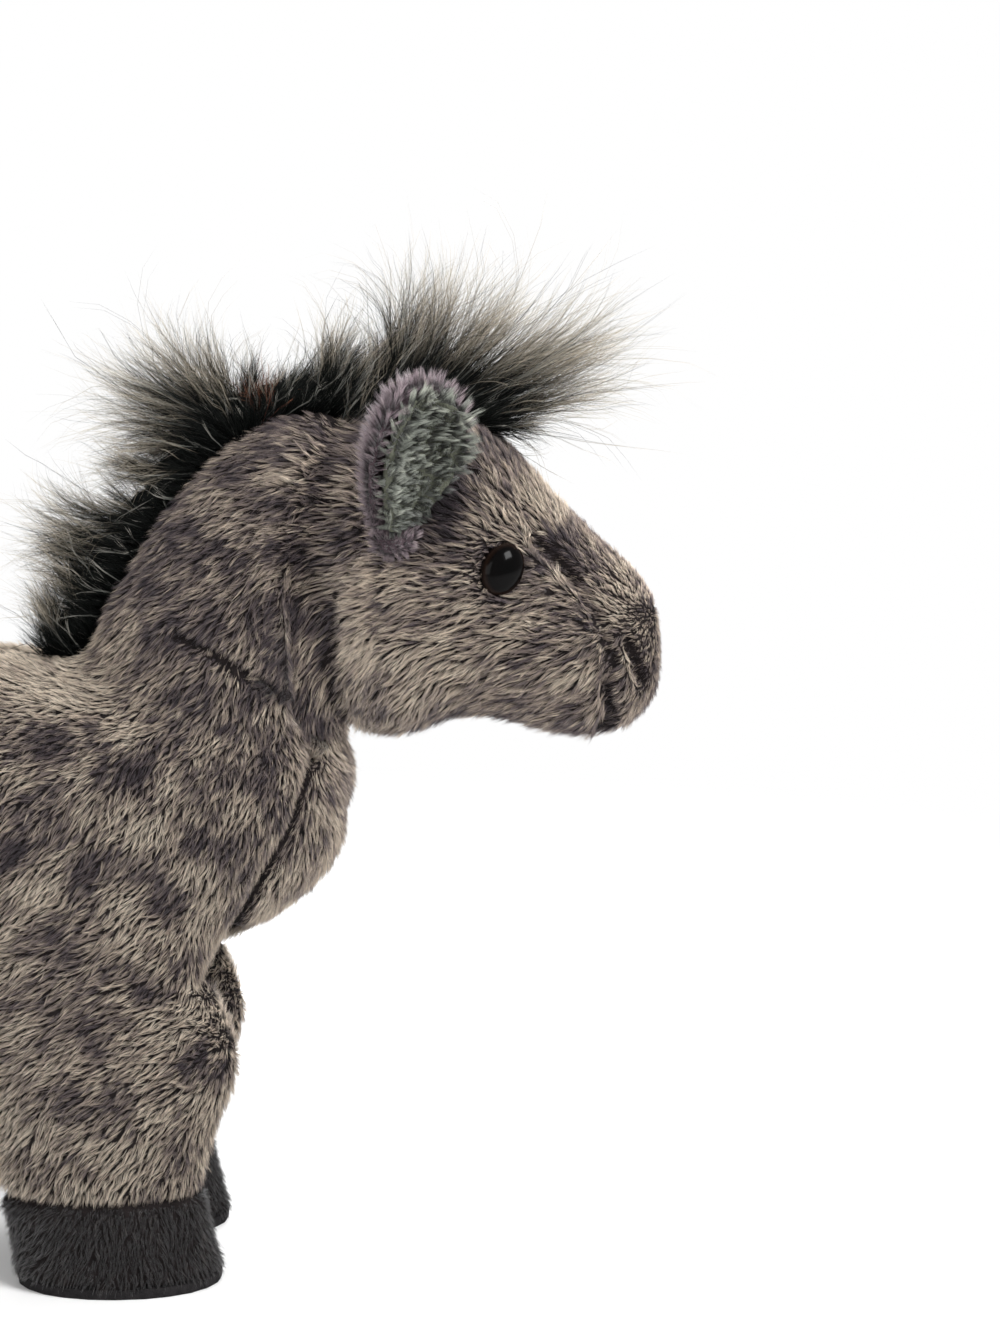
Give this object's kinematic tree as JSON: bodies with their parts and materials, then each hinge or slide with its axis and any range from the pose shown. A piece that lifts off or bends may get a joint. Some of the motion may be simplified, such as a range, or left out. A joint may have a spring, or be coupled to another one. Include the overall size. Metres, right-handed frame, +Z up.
{
  "type": "plush horse",
  "caption": "Small stuffed toy horse that stands on four soft legs, with a long-pile mane, sewn-on ears, glossy eyes and a hanging tail.",
  "frame": {"origin": "on the ground under the centre of the toy's bounding box, midway between its left and right sides", "axes": "+X to the nose, +Y to the toy's left, +Z up; the toy stands on its four soles at Z = 0"},
  "size_m": [0.2308, 0.0924, 0.2143],
  "materials": {
    "body_plush": "short combed polyester plush in taupe with purple-grey dapples",
    "ear_plush": "short mauve-grey plush",
    "ear_lining": "curly greenish-grey pile",
    "hoof_plush": "short near-black plush",
    "mane_pile": "long near-black pile with pale tips",
    "eye_plastic": "glossy black-brown moulded plastic",
    "washer_plastic": "natural white plastic",
    "bag_cloth": "plain woven inner bag"
  },
  "bodies": {
    "torso": {"torso": "body_plush", "belly_gusset": "body_plush", "pellet_bag": "bag_cloth"},
    "neck": {"neck": "body_plush", "mane": "mane_pile"},
    "head": {"head": "body_plush", "nose_gusset": "body_plush", "forelock": "mane_pile", "eye_right": "eye_plastic", "eye_left": "eye_plastic", "eye_washer_right": "washer_plastic", "eye_washer_left": "washer_plastic"},
    "ear_right": {"ear_outer_right": "ear_plush", "ear_liner_right": "ear_lining"},
    "ear_left": {"ear_outer_left": "ear_plush", "ear_liner_left": "ear_lining"},
    "foreleg_right": {"foreleg_right": "body_plush", "forehoof_right": "hoof_plush", "foresole_right": "hoof_plush"},
    "foreleg_left": {"foreleg_left": "body_plush", "forehoof_left": "hoof_plush", "foresole_left": "hoof_plush"},
    "hindleg_right": {"hindleg_right": "body_plush", "hindhoof_right": "hoof_plush", "hindsole_right": "hoof_plush"},
    "hindleg_left": {"hindleg_left": "body_plush", "hindhoof_left": "hoof_plush", "hindsole_left": "hoof_plush"},
    "tail_dock": {"tail_dock": "mane_pile"},
    "tail": {"tail": "mane_pile"}
  },
  "joints": [
    {"name": "neck_nod", "type": "hinge", "parent": "torso", "child": "neck", "pos_m": [0.006, 0, 0.095], "axis": [0, 1, 0], "range_deg": [-5, 6], "stiffness_Nm_per_rad": 2.5},
    {"name": "head_turn", "type": "hinge", "parent": "neck", "child": "head", "pos_m": [0.029, 0, 0.148], "axis": [0, 0, 1], "range_deg": [-12, 12], "stiffness_Nm_per_rad": 0.6},
    {"name": "ear_right_fold", "type": "hinge", "parent": "head", "child": "ear_right", "pos_m": [0.0595, -0.02319, 0.1585], "axis": [-0.7166, -0.6518, -0.2482], "range_deg": [-20, 10], "stiffness_Nm_per_rad": 0.01},
    {"name": "ear_left_fold", "type": "hinge", "parent": "head", "child": "ear_left", "pos_m": [0.0595, 0.02319, 0.1585], "axis": [0.7166, -0.6518, 0.2482], "range_deg": [-20, 10], "stiffness_Nm_per_rad": 0.01},
    {"name": "foreleg_right_swing", "type": "hinge", "parent": "torso", "child": "foreleg_right", "pos_m": [-0.001, -0.0198, 0.086], "axis": [0, 1, 0], "range_deg": [-8, 8], "stiffness_Nm_per_rad": 1},
    {"name": "foreleg_left_swing", "type": "hinge", "parent": "torso", "child": "foreleg_left", "pos_m": [-0.001, 0.0198, 0.086], "axis": [0, 1, 0], "range_deg": [-8, 8], "stiffness_Nm_per_rad": 1},
    {"name": "hindleg_right_swing", "type": "hinge", "parent": "torso", "child": "hindleg_right", "pos_m": [-0.073, -0.0198, 0.086], "axis": [0, 1, 0], "range_deg": [-8, 8], "stiffness_Nm_per_rad": 1},
    {"name": "hindleg_left_swing", "type": "hinge", "parent": "torso", "child": "hindleg_left", "pos_m": [-0.073, 0.0198, 0.086], "axis": [0, 1, 0], "range_deg": [-8, 8], "stiffness_Nm_per_rad": 1},
    {"name": "tail_sway", "type": "hinge", "parent": "torso", "child": "tail_dock", "pos_m": [-0.096, 0, 0.113], "axis": [1, 0, 0], "range_deg": [-20, 20], "stiffness_Nm_per_rad": 0.02},
    {"name": "tail_lift", "type": "hinge", "parent": "tail_dock", "child": "tail", "pos_m": [-0.096, 0, 0.113], "axis": [0, 1, 0], "range_deg": [0, 40], "stiffness_Nm_per_rad": 0.02}
  ]
}
